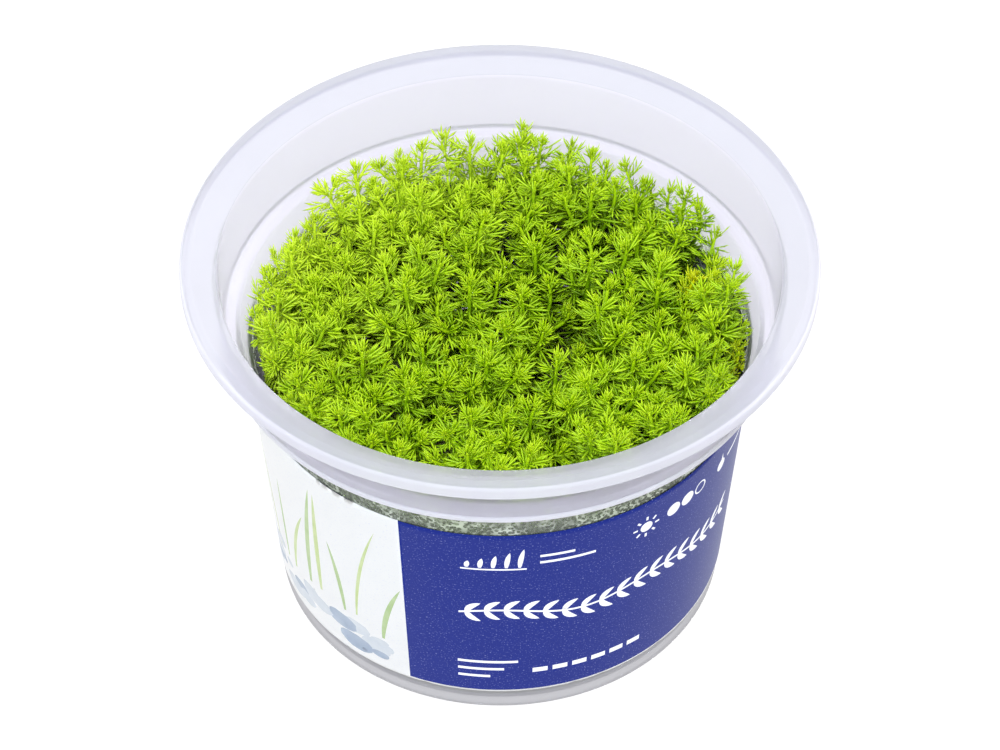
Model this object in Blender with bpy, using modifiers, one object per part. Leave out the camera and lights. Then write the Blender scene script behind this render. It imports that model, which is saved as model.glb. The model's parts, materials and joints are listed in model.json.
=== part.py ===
"""Water milfoil grown in a clear tissue-culture cup with a printed band label.

Units are metres and +Z is up. The origin is at the middle of the cup's foot, on the surface that
the cup stands on. The label's printed front faces -Y.
"""

import math
import random

import bpy
from mathutils import Vector

MM = 0.001

# Cup, measured on its outside unless a name says otherwise
RIM_RADIUS = 50.0 * MM
CUP_HEIGHT = 67.0 * MM
RIM_ROUNDING = 1.2 * MM
RIM_LAND = 1.8 * MM
LIP_DEPTH = 1.8 * MM
LIP_THICKNESS = 0.8 * MM
MOUTH_RADIUS = 44.1 * MM
FLANGE_DISH = 2.0 * MM
WALL = 0.9 * MM
COLLAR_RADIUS = 44.1 * MM
COLLAR_ROUNDING = 0.6 * MM
LEDGE_RADIUS = 41.9 * MM
LEDGE_HEIGHT = 54.4 * MM
FLARE_RADIUS = 40.3 * MM
FLARE_HEIGHT = 50.0 * MM
FOOT_RADIUS = 36.3 * MM
FOOT_ROUNDING = 1.6 * MM
FOOT_RING_WIDTH = 3.2 * MM
BASE_RECESS = 0.8 * MM
TURNED_STEPS = 48

# Label
LABEL_LOW = 5.2 * MM
LABEL_HIGH = 45.9 * MM
LABEL_THICKNESS = 0.25 * MM
LABEL_END_GAP = math.radians(5)
LABEL_STEPS = 44

# Nutrient gel
GEL_HEIGHT = 18.0 * MM
MENISCUS_RISE = 0.8 * MM
MENISCUS_WIDTH = 2.5 * MM

# Clearance between pieces that rest on each other or stand side by side
GAP = 0.3 * MM

# Shoots
SHOOTS_PER_RING = (3, 9, 16, 22)
STAND_RADIUS = 35.6 * MM
CROWN_RADIUS = 40.3 * MM
STRAY = 1.0 * MM
ROOT_CROWDING = 0.90
TIP_HEIGHT = 58.2 * MM
TIP_SPREAD = 2.6 * MM
STEM_RADIUS = 0.75 * MM
STEM_TOP_RADIUS = 0.5 * MM
STEM_BOW = 0.9 * MM
LEAVES_PER_WHORL = 4
LEAF_REACH = 7.0 * MM
SHOOT_SEED = 11

# Whorls of one shoot from the lowest up: depth below the tip, share of the leaf's reach, how far
# the leaf tips rise above the node that they grow from, and how deep the gap between two leaves
# runs back, as a share of the reach
WHORLS = (
    (15.0 * MM, 0.95, 0.0 * MM, 0.85),
    (10.0 * MM, 1.00, 0.8 * MM, 0.50),
    (5.4 * MM, 0.80, 1.6 * MM, 0.38),
    (1.8 * MM, 0.45, 1.4 * MM, 0.36),
)
WHORL_THICKNESS = 1.3 * MM


def clear_scene():
    for item in list(bpy.data.objects):
        bpy.data.objects.remove(item, do_unlink=True)


def make_collection(name):
    collection = bpy.data.collections.new(name)
    bpy.context.scene.collection.children.link(collection)
    return collection


def make_material(name, colour, roughness, alpha=1.0, transmission=0.0):
    material = bpy.data.materials.new(name)
    material.use_nodes = True
    shader = material.node_tree.nodes["Principled BSDF"]
    shader.inputs["Base Color"].default_value = (*colour, 1.0)
    shader.inputs["Roughness"].default_value = roughness
    shader.inputs["Metallic"].default_value = 0.0
    shader.inputs["Alpha"].default_value = alpha
    shader.inputs["Transmission Weight"].default_value = transmission
    material.diffuse_color = (*colour, alpha)
    return material


def rounded_outline(corners, arc_steps=2):
    """Replace each (r, z, rounding) corner of an outline by a short arc of that radius."""
    points = []
    for index, (r, z, rounding) in enumerate(corners):
        corner = Vector((r, z))
        if rounding == 0.0:
            points.append(corner)
            continue
        before = (Vector(corners[index - 1][:2]) - corner).normalized()
        after = (Vector(corners[index + 1][:2]) - corner).normalized()
        half_angle = before.angle(after) / 2
        centre = corner + (before + after).normalized() * rounding / math.sin(half_angle)
        start = corner + before * rounding / math.tan(half_angle) - centre
        end = corner + after * rounding / math.tan(half_angle) - centre
        sweep = start.angle_signed(end)
        for step in range(arc_steps + 1):
            turn = -sweep * step / arc_steps
            points.append(centre + Vector((
                start.x * math.cos(turn) - start.y * math.sin(turn),
                start.x * math.sin(turn) + start.y * math.cos(turn),
            )))
    return [(point.x, point.y) for point in points]


def turn_profile(name, outline, steps, material, collection, sweep=2 * math.pi):
    """Turn an outline of (radius, height) points about the upright axis."""
    mesh = bpy.data.meshes.new(name)
    vertices = [(r, 0.0, z) for r, z in outline]
    edges = [(index, index + 1) for index in range(len(vertices) - 1)]
    mesh.from_pydata(vertices, edges, [])
    mesh.materials.append(material)
    turned = bpy.data.objects.new(name, mesh)
    collection.objects.link(turned)
    screw = turned.modifiers.new("Turned", "SCREW")
    screw.axis = "Z"
    screw.angle = sweep
    screw.steps = steps
    screw.render_steps = steps
    screw.use_merge_vertices = True
    screw.merge_threshold = 0.00001
    screw.use_smooth_shade = True
    return turned


def lower_wall_radius(z):
    """Outer radius of the cup's long tapering wall, which carries the label."""
    return FOOT_RADIUS + (FLARE_RADIUS - FOOT_RADIUS) * z / FLARE_HEIGHT


def room_radius(z):
    """Radius of the room for leaves: the inside of the tapering wall, then the plants' own edge."""
    if z < LEDGE_HEIGHT:
        return min(lower_wall_radius(z), FLARE_RADIUS) - WALL
    return CROWN_RADIUS


def add_cup(collection):
    """One moulding: recessed base, tapering wall, flare, stacking ledge, collar and flange."""
    floor = BASE_RECESS + WALL
    ledge_under = LEDGE_HEIGHT - WALL
    mouth_height = CUP_HEIGHT - FLANGE_DISH
    lip_inside = RIM_RADIUS - LIP_THICKNESS
    corners = [
        (0.0, floor, 0.0),
        (lower_wall_radius(floor) - WALL, floor, 0.0),
        (FLARE_RADIUS - WALL, FLARE_HEIGHT, 0.0),
        (LEDGE_RADIUS - WALL, LEDGE_HEIGHT, 0.0),
        (COLLAR_RADIUS - WALL, LEDGE_HEIGHT, 0.0),
        (MOUTH_RADIUS, mouth_height, 0.0),
        (RIM_RADIUS - RIM_LAND, CUP_HEIGHT, 0.0),
        (RIM_RADIUS, CUP_HEIGHT, RIM_ROUNDING),
        (RIM_RADIUS, CUP_HEIGHT - LIP_DEPTH, 0.0),
        (lip_inside, CUP_HEIGHT - LIP_DEPTH, 0.0),
        (lip_inside, CUP_HEIGHT - WALL, 0.0),
        (MOUTH_RADIUS + WALL, mouth_height - WALL, 0.0),
        (COLLAR_RADIUS, ledge_under, COLLAR_ROUNDING),
        (LEDGE_RADIUS, ledge_under, 0.0),
        (FLARE_RADIUS, FLARE_HEIGHT, 0.0),
        (FOOT_RADIUS, 0.0, FOOT_ROUNDING),
        (FOOT_RADIUS - FOOT_RING_WIDTH, 0.0, 0.0),
        (FOOT_RADIUS - FOOT_RING_WIDTH - BASE_RECESS, BASE_RECESS, 0.0),
        (0.0, BASE_RECESS, 0.0),
    ]
    plastic = make_material("translucent_polypropylene", (0.86, 0.85, 0.91), 0.35, alpha=0.55)
    return turn_profile("cup", rounded_outline(corners), TURNED_STEPS, plastic, collection)


def add_label(collection):
    """A thin band round the tapering wall, open by a narrow gap at the back."""
    outline = [
        (lower_wall_radius(LABEL_HIGH) + GAP, LABEL_HIGH),
        (lower_wall_radius(LABEL_LOW) + GAP, LABEL_LOW),
    ]
    film = make_material("printed_film", (0.035, 0.045, 0.33), 0.25)
    sweep = 2 * math.pi - LABEL_END_GAP
    label = turn_profile("label", outline, LABEL_STEPS, film, collection, sweep)
    label.rotation_euler.z = math.pi / 2 + LABEL_END_GAP / 2
    thickness = label.modifiers.new("Film", "SOLIDIFY")
    thickness.thickness = LABEL_THICKNESS
    thickness.offset = 1.0
    return label


def add_gel(collection):
    """The cake of clear gel that fills the bottom of the cup, its edge drawn up at the wall."""
    bottom = BASE_RECESS + WALL + GAP
    edge_height = GEL_HEIGHT + MENISCUS_RISE
    edge = room_radius(edge_height) - GAP
    outline = [
        (0.0, GEL_HEIGHT),
        (edge - MENISCUS_WIDTH, GEL_HEIGHT),
        (edge, edge_height),
        (room_radius(bottom) - GAP, bottom),
        (0.0, bottom),
    ]
    gel = make_material("nutrient_gel", (0.80, 0.80, 0.66), 0.15, alpha=0.7)
    return turn_profile("culture_gel", outline, TURNED_STEPS, gel, collection)


def crowding(z):
    """Stems stand closer together at the gel than at their tips, in step with the cup's taper."""
    return ROOT_CROWDING + (1.0 - ROOT_CROWDING) * (z - GEL_HEIGHT) / (TIP_HEIGHT - GEL_HEIGHT)


def stand_points():
    """Where the shoots' tips stand, seen from above: rings of stems, each a little out of place."""
    rng = random.Random(SHOOT_SEED)
    ring_spacing = STAND_RADIUS / (len(SHOOTS_PER_RING) - 0.5)
    points = []
    for ring, count in enumerate(SHOOTS_PER_RING):
        first_angle = rng.uniform(0.0, 2 * math.pi)
        for place in range(count):
            angle = first_angle + 2 * math.pi * place / count
            point = Vector((math.cos(angle), math.sin(angle))) * ring_spacing * (ring + 0.5)
            stray = Vector((rng.uniform(-STRAY, STRAY), rng.uniform(-STRAY, STRAY)))
            points.append(point + stray)
    return points


def free_reach(start, direction, z, own_point, points, wanted):
    """Length that a leaf can have before it meets a neighbour's half of the room or the wall.

    The boundary towards each neighbour is a plane midway between the two stems. It leans with
    them, because the whole stand spreads evenly with height.
    """
    reach = wanted
    for point in points:
        if point is own_point:
            continue
        across = (point - own_point).normalized()
        towards = direction.dot(across)
        if towards <= 0.0:
            continue
        boundary = crowding(z) * (point + own_point).dot(across) / 2 - GAP / 2
        reach = min(reach, (boundary - start.dot(across)) / towards)
    wall = room_radius(z) - 2 * GAP
    along = start.dot(direction)
    to_wall = math.sqrt(wall ** 2 - start.length_squared + along ** 2) - along
    return min(reach, to_wall)


def shoot_rings(own_point, points, rng):
    """Rings of a shoot from the gel to its tip: centre, then one point for each leaf and notch."""
    tip_height = TIP_HEIGHT + rng.uniform(-TIP_SPREAD, TIP_SPREAD)
    foot_height = GEL_HEIGHT + GAP
    bow_direction = rng.uniform(0.0, 2 * math.pi)
    first_leaf = rng.uniform(0.0, 2 * math.pi)
    side_count = 2 * LEAVES_PER_WHORL

    def centre_at(z):
        share = (z - foot_height) / (tip_height - foot_height)
        bow = STEM_BOW * math.sin(math.pi * share)
        drift = Vector((math.cos(bow_direction), math.sin(bow_direction))) * bow
        return own_point * crowding(z) + drift

    def direction_at(side):
        angle = first_leaf + side * math.pi / LEAVES_PER_WHORL
        return Vector((math.cos(angle), math.sin(angle)))

    def stem_ring(z):
        share = (z - foot_height) / (tip_height - foot_height)
        radius = STEM_RADIUS + (STEM_TOP_RADIUS - STEM_RADIUS) * share
        centre = centre_at(z)
        return [(*(centre + direction_at(side) * radius), z) for side in range(side_count)]

    rings = [stem_ring(foot_height)]
    for number, (depth, share, rise, notch) in enumerate(WHORLS):
        node_height = tip_height - depth
        centre = centre_at(node_height)
        ring = []
        for side in range(side_count):
            direction = direction_at(side)
            is_leaf = side % 2 == number % 2
            height = node_height + (rise if is_leaf else 0.0)
            wanted = LEAF_REACH * share * rng.uniform(0.88, 1.0)
            reach = free_reach(centre, direction, height, own_point, points, wanted)
            if not is_leaf:
                reach = min(reach, wanted * notch)
            ring.append((*(centre + direction * reach), height))
        rings.append(stem_ring(node_height - WHORL_THICKNESS))
        rings.append(ring)
    return rings, (*centre_at(tip_height), tip_height)


def add_shoot(number, own_point, points, material, collection):
    """One stem with its whorls of leaves, as one closed skin lofted through its rings."""
    rng = random.Random(SHOOT_SEED + number)
    rings, tip = shoot_rings(own_point, points, rng)
    side_count = len(rings[0])
    vertices = [point for ring in rings for point in ring]
    vertices.append(tip)
    faces = [tuple(reversed(range(side_count)))]
    for level in range(len(rings) - 1):
        low = level * side_count
        high = low + side_count
        for side in range(side_count):
            following = (side + 1) % side_count
            faces.append((low + side, low + following, high + following, high + side))
    last = (len(rings) - 1) * side_count
    for side in range(side_count):
        faces.append((last + side, last + (side + 1) % side_count, len(vertices) - 1))
    mesh = bpy.data.meshes.new(f"shoot_{number:02d}")
    mesh.from_pydata(vertices, [], faces)
    mesh.materials.append(material)
    mesh.update()
    shoot = bpy.data.objects.new(f"shoot_{number:02d}", mesh)
    collection.objects.link(shoot)
    return shoot


def main():
    clear_scene()
    collection = make_collection("potted_water_milfoil")
    add_cup(collection)
    add_label(collection)
    add_gel(collection)
    leaf = make_material("milfoil_leaf", (0.26, 0.45, 0.02), 0.5)
    points = stand_points()
    for number, point in enumerate(points, start=1):
        add_shoot(number, point, points, leaf, collection)


main()
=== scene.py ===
import json
import math
import random

import bmesh
import bpy
import numpy as np
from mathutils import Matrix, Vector
from mathutils.geometry import delaunay_2d_cdt

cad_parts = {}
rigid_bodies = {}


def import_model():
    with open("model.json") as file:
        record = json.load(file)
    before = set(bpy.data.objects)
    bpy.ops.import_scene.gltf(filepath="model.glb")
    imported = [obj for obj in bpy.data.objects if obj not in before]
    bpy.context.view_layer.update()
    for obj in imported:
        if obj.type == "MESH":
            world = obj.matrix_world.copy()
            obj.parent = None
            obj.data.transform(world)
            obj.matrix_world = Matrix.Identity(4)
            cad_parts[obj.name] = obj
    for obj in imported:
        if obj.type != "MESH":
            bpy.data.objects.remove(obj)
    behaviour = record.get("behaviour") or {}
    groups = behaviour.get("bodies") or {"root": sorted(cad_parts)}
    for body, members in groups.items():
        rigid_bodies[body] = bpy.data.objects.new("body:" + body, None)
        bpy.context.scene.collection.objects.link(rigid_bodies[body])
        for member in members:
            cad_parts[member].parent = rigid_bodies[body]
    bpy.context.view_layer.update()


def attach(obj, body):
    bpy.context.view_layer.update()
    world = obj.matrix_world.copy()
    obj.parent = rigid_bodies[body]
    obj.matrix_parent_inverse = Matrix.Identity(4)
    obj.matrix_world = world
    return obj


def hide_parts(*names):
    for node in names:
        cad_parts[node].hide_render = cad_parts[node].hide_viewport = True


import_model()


# Cup
# One thin-walled injection moulding of translucent polypropylene. A recessed base, a long wall that
# tapers to the foot, a flare, a flat stacking ledge, a collar with a bead at its foot, and a wide
# dished flange with a lip turned down round its edge. All the rest stands in it or is stuck to it.

MM = 0.001
RIM_RADIUS = 50.0 * MM
CUP_HEIGHT = 67.0 * MM
RIM_LAND = 1.8 * MM
LIP_DEPTH = 2.3 * MM
LIP_THICKNESS = 0.8 * MM
MOUTH_RADIUS = 44.1 * MM
FLANGE_DISH = 2.0 * MM
WALL = 0.9 * MM
COLLAR_RADIUS = 44.1 * MM
BEAD_HEIGHT = 0.7 * MM
BEAD_DEPTH = 0.3 * MM
LEDGE_RADIUS = 41.9 * MM
LEDGE_HEIGHT = 54.4 * MM
FLARE_RADIUS = 40.3 * MM
FLARE_HEIGHT = 50.0 * MM
WET_FROM = 43.0 * MM
FOOT_RADIUS = 36.3 * MM
FOOT_HEIGHT = 5.2 * MM
FOOT_RING_WIDTH = 3.2 * MM
BASE_RECESS = 0.8 * MM
FLOOR_HEIGHT = BASE_RECESS + WALL
CUP_STEPS = 192
# A face looks inwards where its normal points outwards by less than this, and down where it points up
# by less than that.
LOOKS_INWARDS = 0.2
LOOKS_DOWN = -0.5
# Clearness, dullness, mist and two shades of milk. Most of the milkiness lies in the outer skin, so the
# faces towards the plants are clearer. The wall is glossy above the label, where its inside is wet, and
# its milk there is painted green, painted light for the plants that show through it. It is milkiest along
# the lip and the bead, where the eye looks into it edgeways. The flange's upward faces are painted a
# shade greyer and the foot below the label a darker grey, both painted shade.
FINISHES = {
    "moulded_polypropylene": (0.74, 0.38, 0.0, "#E8E6F1", "#ECEAF5"),
    "wetted_polypropylene": (0.86, 0.06, 0.60, "#C8D8B0", "#E2E3E6"),
    "edgewise_polypropylene": (0.36, 0.36, 0.0, "#E2E1E9", "#E7E6ED"),
    "foot_polypropylene": (0.60, 0.36, 0.0, "#BFBEC2", "#C5C4C8"),
    "inner_polypropylene": (0.85, 0.38, 0.0, "#EFEDF7", "#F1EFF9"),
    "flange_polypropylene": (0.58, 0.38, 0.0, "#D1D1D9", "#D6D6DD"),
}


def lower_wall_radius(z):
    """Outer radius of the long tapering wall that carries the label."""
    return FOOT_RADIUS + (FLARE_RADIUS - FOOT_RADIUS) * z / FLARE_HEIGHT


def cup_outline():
    """Corners of the cup's section as (radius, height, rounding), down its inside and back out."""
    ledge_under = LEDGE_HEIGHT - WALL
    mouth_height = CUP_HEIGHT - FLANGE_DISH
    lip_inside = RIM_RADIUS - LIP_THICKNESS
    ring_inside = FOOT_RADIUS - FOOT_RING_WIDTH
    bead_radius = COLLAR_RADIUS + BEAD_DEPTH
    return [
        (0.0, FLOOR_HEIGHT, 0.0),
        (lower_wall_radius(FLOOR_HEIGHT) - WALL, FLOOR_HEIGHT, 1.2 * MM),
        (lower_wall_radius(WET_FROM) - WALL, WET_FROM, 0.0),
        (FLARE_RADIUS - WALL, FLARE_HEIGHT, 2.0 * MM),
        (LEDGE_RADIUS - WALL, LEDGE_HEIGHT, 0.35 * MM),
        (COLLAR_RADIUS - WALL, LEDGE_HEIGHT, 0.7 * MM),
        (MOUTH_RADIUS, mouth_height, 0.9 * MM),
        (RIM_RADIUS - RIM_LAND, CUP_HEIGHT, 0.9 * MM),
        (RIM_RADIUS, CUP_HEIGHT, 0.7 * MM),
        (RIM_RADIUS, CUP_HEIGHT - LIP_DEPTH, 0.25 * MM),
        (lip_inside, CUP_HEIGHT - LIP_DEPTH, 0.25 * MM),
        (lip_inside, CUP_HEIGHT - WALL, 0.25 * MM),
        (MOUTH_RADIUS + WALL, mouth_height - WALL, 0.6 * MM),
        (COLLAR_RADIUS, ledge_under + BEAD_HEIGHT + BEAD_DEPTH, 0.1 * MM),
        (bead_radius, ledge_under + BEAD_HEIGHT, 0.1 * MM),
        (bead_radius, ledge_under, 0.2 * MM),
        (LEDGE_RADIUS, ledge_under, 0.4 * MM),
        (FLARE_RADIUS, FLARE_HEIGHT, 2.5 * MM),
        (lower_wall_radius(WET_FROM), WET_FROM, 0.0),
        (lower_wall_radius(FOOT_HEIGHT), FOOT_HEIGHT, 0.0),
        (FOOT_RADIUS, 0.0, 1.6 * MM),
        (ring_inside, 0.0, 0.4 * MM),
        (ring_inside - BASE_RECESS, BASE_RECESS, 0.4 * MM),
        (0.0, BASE_RECESS, 0.0),
    ]


def rounded_section(corners, arc_steps=6, shoulder=0.05 * MM):
    """Points along a section, each corner an arc with a short straight shoulder on either side."""
    points = []
    for index, (r, z, rounding) in enumerate(corners):
        corner = Vector((r, z))
        if rounding == 0.0:
            points.append(corner)
            continue
        before = (Vector(corners[index - 1][:2]) - corner).normalized()
        after = (Vector(corners[index + 1][:2]) - corner).normalized()
        half_angle = before.angle(after) / 2
        reach = rounding / math.tan(half_angle)
        centre = corner + (before + after).normalized() * rounding / math.sin(half_angle)
        start = corner + before * reach - centre
        sweep = start.angle_signed(corner + after * reach - centre)
        points.append(corner + before * (reach + shoulder))
        for step in range(arc_steps + 1):
            turn = -sweep * step / arc_steps
            points.append(centre + Vector((
                start.x * math.cos(turn) - start.y * math.sin(turn),
                start.x * math.sin(turn) + start.y * math.cos(turn),
            )))
        points.append(corner + after * (reach + shoulder))
    return [(point.x, point.y) for point in points]


def put_in_scene(name, data):
    """A new object in the scene that holds a mesh, a lamp or a camera."""
    thing = bpy.data.objects.new(name, data)
    bpy.context.scene.collection.objects.link(thing)
    return thing


def settle(piece):
    """Leave a piece as the plain mesh that its modifiers make."""
    graph = bpy.context.evaluated_depsgraph_get()
    mesh = bpy.data.meshes.new_from_object(
        piece.evaluated_get(graph), preserve_all_data_layers=True, depsgraph=graph)
    piece.modifiers.clear()
    piece.data = mesh
    mesh.name = piece.name
    return piece


def turned(name, section, steps):
    """A closed piece turned about the upright axis from points of (radius, height)."""
    mesh = bpy.data.meshes.new(name)
    edges = [(index, index + 1) for index in range(len(section) - 1)]
    mesh.from_pydata([(r, 0.0, z) for r, z in section], edges, [])
    piece = put_in_scene(name, mesh)
    screw = piece.modifiers.new("Turned", "SCREW")
    screw.axis = "Z"
    screw.steps = steps
    screw.render_steps = steps
    screw.use_merge_vertices = True
    screw.merge_threshold = 0.001 * MM
    screw.use_smooth_shade = True
    return settle(piece)


def linear(hex_code):
    """An sRGB hex colour as linear red, green, blue and a full alpha."""
    channels = [int(hex_code[place:place + 2], 16) / 255 for place in (1, 3, 5)]
    return tuple(c / 12.92 if c <= 0.04045 else ((c + 0.055) / 1.055) ** 2.4 for c in channels) + (1.0,)


def add_node(tree, kind, inputs=None, **settings):
    """Add a node, set its properties, and fill or link its inputs."""
    node = tree.nodes.new(kind)
    for name, value in settings.items():
        setattr(node, name, value)
    for socket, value in (inputs or {}).items():
        if isinstance(value, bpy.types.NodeSocket):
            tree.links.new(value, node.inputs[socket])
        else:
            node.inputs[socket].default_value = value
    return node


def new_material(name):
    """An empty material and its node tree."""
    material = bpy.data.materials.new(name)
    material.use_nodes = True
    material.node_tree.nodes.clear()
    return material, material.node_tree


def moulded_polypropylene(name, clearness, dullness, mist, milk, thin_milk):
    """Natural polypropylene: milky, a little lilac, with light soaking through it.

    Slow swirls from the melt's flow change its gloss, and a fine frosting from the mould scatters
    the highlights and blurs what stands behind. Its IOR is set below the real 1.49, because light
    that scatters inside it hides the hard refraction of a clear wall. Mist is the white film of
    fine droplets left in thin lines between the larger drops, more of it in some patches.
    """
    material, tree = new_material(name)
    place = add_node(tree, "ShaderNodeTexCoord").outputs["Object"]
    flow = add_node(tree, "ShaderNodeTexNoise",
                    {"Vector": place, "Scale": 1 / (14 * MM), "Detail": 3.0, "Distortion": 0.6})
    frosting = add_node(tree, "ShaderNodeTexNoise",
                        {"Vector": place, "Scale": 1 / (0.5 * MM), "Detail": 2.0})
    swirl = add_node(tree, "ShaderNodeMix",
                     {"Factor": flow.outputs["Fac"], 6: linear(milk), 7: linear(thin_milk)},
                     data_type="RGBA")
    cells = add_node(tree, "ShaderNodeTexVoronoi", {"Vector": place, "Scale": 1 / (0.60 * MM)})
    between = add_node(tree, "ShaderNodeMapRange", {
        "Value": cells.outputs["Distance"], "From Min": 0.50, "From Max": 0.66})
    patches = add_node(tree, "ShaderNodeTexNoise",
                       {"Vector": place, "Scale": 1 / (3.5 * MM), "Detail": 2.0})
    misted = add_node(tree, "ShaderNodeMapRange", {
        "Value": patches.outputs["Fac"], "From Min": 0.35, "From Max": 0.62,
        "To Min": mist * 0.1, "To Max": mist})
    fog = add_node(tree, "ShaderNodeMath",
                   {0: between.outputs["Result"], 1: misted.outputs["Result"]}, operation="MULTIPLY")
    clear = add_node(tree, "ShaderNodeMath", {0: clearness, 1: fog.outputs[0]}, operation="SUBTRACT")
    gloss = add_node(tree, "ShaderNodeMapRange", {
        "Value": flow.outputs["Fac"], "To Min": dullness - 0.04, "To Max": dullness + 0.04})
    grain = add_node(tree, "ShaderNodeBump",
                     {"Height": frosting.outputs["Fac"], "Strength": 0.1, "Distance": 0.02 * MM})
    shader = add_node(tree, "ShaderNodeBsdfPrincipled", {
        "Base Color": swirl.outputs[2], "Roughness": gloss.outputs["Result"],
        "Normal": grain.outputs["Normal"], "IOR": 1.06, "Transmission Weight": clear.outputs[0]})
    add_node(tree, "ShaderNodeOutputMaterial", {"Surface": shader.outputs["BSDF"]})
    return material


def finish_of(polygon):
    """Which finish a face of the cup has, from where it stands and which way it looks."""
    middle = polygon.center
    radius = middle.to_2d().length
    outward = polygon.normal.to_2d().dot(middle.to_2d()) / radius
    mouth_height = CUP_HEIGHT - FLANGE_DISH
    # The wet band's green milk is painted light from the plants behind the wall.
    if WET_FROM < middle.z < FLARE_HEIGHT:
        return "wetted_polypropylene"
    if radius > RIM_RADIUS - LIP_THICKNESS / 2:
        return "edgewise_polypropylene"
    if middle.z < LEDGE_HEIGHT and radius > COLLAR_RADIUS + BEAD_DEPTH / 4:
        return "edgewise_polypropylene"
    # The foot's darker grey is painted shade.
    if middle.z < FOOT_HEIGHT:
        return "foot_polypropylene"
    if middle.z < mouth_height and outward < LOOKS_INWARDS and polygon.normal.z > LOOKS_DOWN:
        return "inner_polypropylene"
    # The flange's greyer upward faces are painted shade.
    if middle.z > mouth_height and polygon.normal.z > 0.0:
        return "flange_polypropylene"
    return "moulded_polypropylene"


cup = turned("cup_moulding", rounded_section(cup_outline()), CUP_STEPS)
for name, look in FINISHES.items():
    cup.data.materials.append(moulded_polypropylene(name, *look))
for polygon in cup.data.polygons:
    polygon.material_index = list(FINISHES).index(finish_of(polygon))
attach(cup, "root")
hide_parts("cup")


# Culture gel
# A flat cake of clear agar gel poured into the cup, which feeds the plants. Its edge is drawn up the
# wall a little, as it was when it set.

GEL_HEIGHT = 18.0 * MM
MENISCUS_RISE = 0.8 * MM
MENISCUS_WIDTH = 2.5 * MM
MENISCUS_EDGE = 0.2 * MM
GEL_CORNER = 1.2 * MM
GEL_CLEARANCE = 0.1 * MM
GEL_STEPS = 96
MENISCUS_STEPS = 8


def gel_section():
    """Flat top, a meniscus that steepens towards the wall, and the sides down to the cup's floor."""
    edge_height = GEL_HEIGHT + MENISCUS_RISE
    edge = lower_wall_radius(edge_height) - WALL - GEL_CLEARANCE
    bottom = FLOOR_HEIGHT + GEL_CLEARANCE
    foot = lower_wall_radius(bottom) - WALL - GEL_CLEARANCE
    section = [(0.0, GEL_HEIGHT)]
    for step in range(MENISCUS_STEPS + 1):
        share = step / MENISCUS_STEPS
        section.append((edge - MENISCUS_WIDTH * (1 - share), GEL_HEIGHT + MENISCUS_RISE * share ** 3))
    section += [(edge, edge_height - MENISCUS_EDGE), (foot, bottom + GEL_CORNER)]
    section += [(foot - GEL_CORNER, bottom), (0.0, bottom)]
    return section


def set_agar():
    """Agar gel: clear, wet and straw coloured, with a faint unevenness in its top."""
    material, tree = new_material("set_agar")
    place = add_node(tree, "ShaderNodeTexCoord").outputs["Object"]
    ripple = add_node(tree, "ShaderNodeTexNoise",
                      {"Vector": place, "Scale": 1 / (5 * MM), "Detail": 2.0})
    straw = add_node(tree, "ShaderNodeMix",
                     {"Factor": ripple.outputs["Fac"], 6: linear("#A9AF78"), 7: linear("#8C9660")},
                     data_type="RGBA")
    surface = add_node(tree, "ShaderNodeBump",
                       {"Height": ripple.outputs["Fac"], "Strength": 0.4, "Distance": 0.3 * MM})
    shader = add_node(tree, "ShaderNodeBsdfPrincipled", {
        "Base Color": straw.outputs[2], "Normal": surface.outputs["Normal"],
        "Roughness": 0.2, "IOR": 1.34, "Transmission Weight": 0.4})
    add_node(tree, "ShaderNodeOutputMaterial", {"Surface": shader.outputs["BSDF"]})
    return material


gel = turned("agar_cake", gel_section(), GEL_STEPS)
gel.data.materials.append(set_agar())
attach(gel, "root")
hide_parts("culture_gel")


# Shoots
# Fifty milfoil plants stand in the gel. Each is a soft green stem with up to four side stems near
# its top, and five comb leaves at every node. The leaves are folded up round the growing tip, open
# flat further down, and thin out in the shade below.

SHOOTS_PER_RING = (3, 9, 16, 22)
STAND_RADIUS = 35.6 * MM
STRAY = 1.0 * MM
SHOOT_SEED = 11
ROOT_CROWDING = 0.90
TIP_HEIGHT = 58.8 * MM
TIP_SPREAD = 2.8 * MM
STEM_BOW = 0.9 * MM
STEM_FOOT = GEL_HEIGHT - 0.5 * MM
TIP_LEAN = 1.3 * MM
FORK_LEAN = 2.4 * MM
LEAN_LENGTH = 7.0 * MM
FORKS = 4
FORK_REACH = (3.0 * MM, 8.0 * MM)
FORK_DEPTH = (10.0 * MM, 17.0 * MM)
FORK_DROP = (0.3 * MM, 4.5 * MM)
FORK_CHOICES = 40
FORK_CURVE = 1.3
TIPS_WITHIN = 38.6 * MM

# A stem's nodes, told by their depth below its tip.
LEAFY_DEPTH = 26.0 * MM
FIRST_WHORL_DEPTH = 0.25 * MM
TIP_INTERNODE = 0.7 * MM
INTERNODE_GROWTH = 1.5 * MM
GROWTH_DEPTH = 3.0 * MM
BARE_INTERNODE = 3.4 * MM
INTERNODE_LUCK = (0.92, 1.08)
STEM_SAMPLE = 0.3 * MM
STEM_RADIUS = 0.34 * MM
STEM_TIP_RADIUS = 0.14 * MM

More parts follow.
